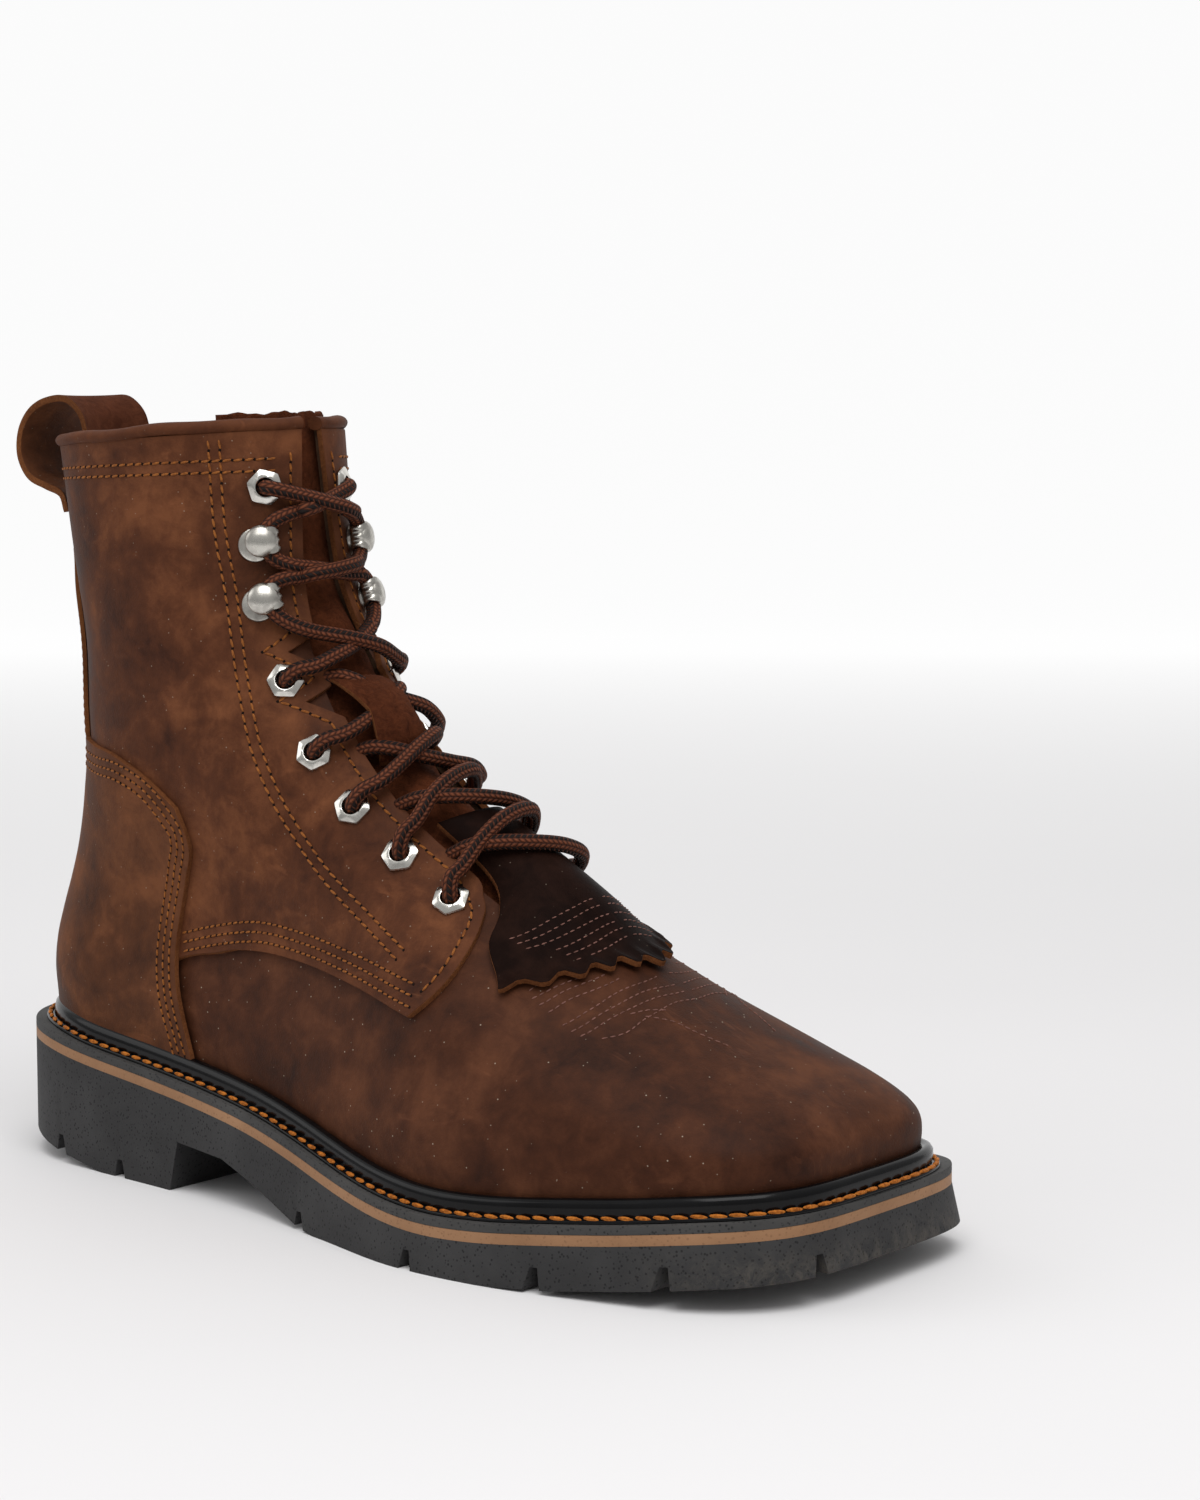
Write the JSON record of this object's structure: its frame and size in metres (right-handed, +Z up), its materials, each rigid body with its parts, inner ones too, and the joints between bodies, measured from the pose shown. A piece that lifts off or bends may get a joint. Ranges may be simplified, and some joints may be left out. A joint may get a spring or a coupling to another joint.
{
  "type": "kiltie boot",
  "caption": "Right-foot leather lace boot with a broad square toe, pinked kiltie over the instep, eyelets and speed hooks, storm welt, striped lug sole and a pull loop at the back.",
  "frame": {"origin": "centre of the boot's box, on the floor under the sole", "axes": "+X to the toe, +Y to the inner (medial) side of the right foot, +Z up"},
  "size_m": [0.3209, 0.1256, 0.2386],
  "materials": {
    "oiled_leather": "matte, mottled, oiled",
    "kiltie_leather": "smooth, slight sheen",
    "suede": "napped",
    "insole_lining": "matte",
    "sole_rubber": "matte, speckled",
    "stripe_rubber": "matte",
    "welt_rubber": "glossy",
    "nickel": "polished",
    "antique_nickel": "satin, darkened",
    "lace_braid": "round braid"
  },
  "bodies": {
    "root": {"backstay": "oiled_leather", "collar_binding": "oiled_leather", "eyelet_lateral_1": "nickel", "eyelet_lateral_4": "nickel", "eyelet_lateral_5": "nickel", "eyelet_lateral_6": "nickel", "eyelet_lateral_7": "nickel", "eyelet_lateral_8": "nickel", "eyelet_medial_1": "nickel", "eyelet_medial_4": "nickel", "eyelet_medial_5": "nickel", "eyelet_medial_6": "nickel", "eyelet_medial_7": "nickel", "eyelet_medial_8": "nickel", "heel_counter": "oiled_leather", "hook_lateral_2": "antique_nickel", "hook_lateral_3": "antique_nickel", "hook_medial_2": "antique_nickel", "hook_medial_3": "antique_nickel", "insole": "insole_lining", "kiltie": "kiltie_leather", "lace_crossing_1": "lace_braid", "lace_crossing_2": "lace_braid", "lace_crossing_3": "lace_braid", "lace_crossing_4": "lace_braid", "lace_crossing_5": "lace_braid", "lace_crossing_6": "lace_braid", "lace_crossing_7": "lace_braid", "lace_keeper": "suede", "midsole": "sole_rubber", "midsole_stripe": "stripe_rubber", "outsole": "sole_rubber", "pull_loop": "oiled_leather", "quarter_lateral": "oiled_leather", "quarter_medial": "oiled_leather", "tongue": "suede", "upper": "oiled_leather", "welt": "welt_rubber"}
  },
  "joints": []
}
